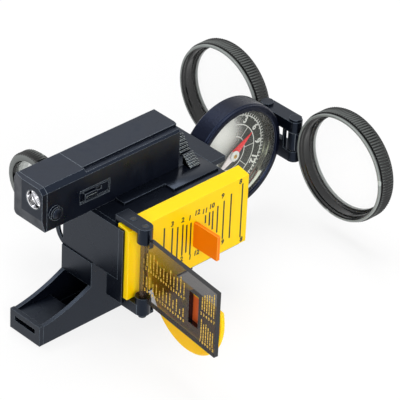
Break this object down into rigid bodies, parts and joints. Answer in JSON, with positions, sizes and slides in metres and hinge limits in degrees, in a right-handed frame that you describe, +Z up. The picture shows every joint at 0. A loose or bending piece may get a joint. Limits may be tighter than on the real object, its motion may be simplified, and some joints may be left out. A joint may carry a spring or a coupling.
{
  "type": "opisometer map measurer",
  "caption": "Pocket field tool: yellow map-measuring segment behind a folding code card, with sundial, compass, folding lenses, torch and whistle.",
  "frame": {"origin": "centre of the whistle's flat underside, on which the tool stands", "axes": "+Z up, +X from the whistle mouth toward the lens group, -Y toward the sundial and the code card"},
  "size_m": [0.1209, 0.1175, 0.0571],
  "materials": {
    "black_plastic": "moulded black, fine satin",
    "dial_yellow": "smooth yellow moulding",
    "fin_orange": "smooth orange moulding",
    "smoked_card": "smoked clear plastic",
    "clear_lens": "clear moulded lens",
    "reflector_chrome": "vacuum-plated",
    "bulb_glass": "clear",
    "cell_jacket": "plain jacket",
    "contact_brass": "bright strip",
    "compass_card": "printed disc",
    "needle_red": "red and white painted steel"
  },
  "bodies": {
    "body": {"whistle_body": "black_plastic", "whistle_mouthpiece": "black_plastic", "main_housing": "black_plastic", "front_plate": "black_plastic", "top_deck": "black_plastic", "rear_grip_pad": "black_plastic", "side_frame": "black_plastic", "sundial_plate": "dial_yellow", "gnomon": "fin_orange", "upper_knuckle": "black_plastic", "lower_knuckle": "black_plastic", "torch_case": "black_plastic", "torch_bezel": "black_plastic", "reflector": "reflector_chrome", "bulb": "bulb_glass", "battery_cell": "cell_jacket", "cell_contact": "contact_brass", "group_bracket": "black_plastic", "group_pin": "black_plastic", "eyepiece_bracket": "black_plastic", "eyepiece_pin": "black_plastic"},
    "card_leaf": {"code_card": "smoked_card", "card_hinge_bar": "smoked_card", "wheel_axle": "dial_yellow"},
    "wheel": {"map_wheel": "dial_yellow"},
    "switch": {"torch_switch": "black_plastic"},
    "lid": {"battery_lid": "black_plastic"},
    "lens_group": {"compass_case": "black_plastic", "compass_dial": "compass_card", "compass_pivot": "black_plastic", "compass_window": "clear_lens", "bridge_block": "black_plastic", "right_ring_pin": "black_plastic", "left_ring_pin": "black_plastic"},
    "needle": {"compass_needle": "needle_red"},
    "right_ring": {"right_objective_ring": "black_plastic", "right_objective_lens": "clear_lens"},
    "left_ring": {"left_objective_ring": "black_plastic", "left_objective_lens": "clear_lens"},
    "eyepiece": {"eyepiece_ring": "black_plastic", "eyepiece_lens": "clear_lens"}
  },
  "joints": [
    {"name": "card_fold", "type": "hinge", "parent": "body", "child": "card_leaf", "pos_m": [-0.0072, -0.0263, 0.028], "axis": [0, 0, 1], "range_deg": [-95, 65]},
    {"name": "wheel_turn", "type": "hinge", "parent": "card_leaf", "child": "wheel", "pos_m": [-0.0073, -0.0464, 0.0278], "axis": [0.9945, -0.1045, 0], "continuous": true},
    {"name": "switch_slide", "type": "slide", "parent": "body", "child": "switch", "axis": [1, 0, 0], "range_m": [0, 0.0046]},
    {"name": "lid_slide", "type": "slide", "parent": "body", "child": "lid", "axis": [1, 0, 0], "range_m": [0, 0.04]},
    {"name": "lens_group_swing", "type": "hinge", "parent": "body", "child": "lens_group", "pos_m": [0.0389, 0.01325, 0.0275], "axis": [0, 0, 1], "range_deg": [0, 55]},
    {"name": "needle_turn", "type": "hinge", "parent": "lens_group", "child": "needle", "pos_m": [0.05985, 0.0035, 0.028], "axis": [0, 1, 0], "continuous": true},
    {"name": "right_ring_fold", "type": "hinge", "parent": "lens_group", "child": "right_ring", "pos_m": [0.083, -0.00185, 0.0275], "axis": [0, 0, 1], "range_deg": [-90, 0]},
    {"name": "left_ring_fold", "type": "hinge", "parent": "lens_group", "child": "left_ring", "pos_m": [0.083, 0.01155, 0.0275], "axis": [0, 0, 1], "range_deg": [0, 90]},
    {"name": "eyepiece_fold", "type": "hinge", "parent": "body", "child": "eyepiece", "pos_m": [0.007, 0.02, 0.0275], "axis": [0, 0, 1], "range_deg": [-80, 0]}
  ]
}
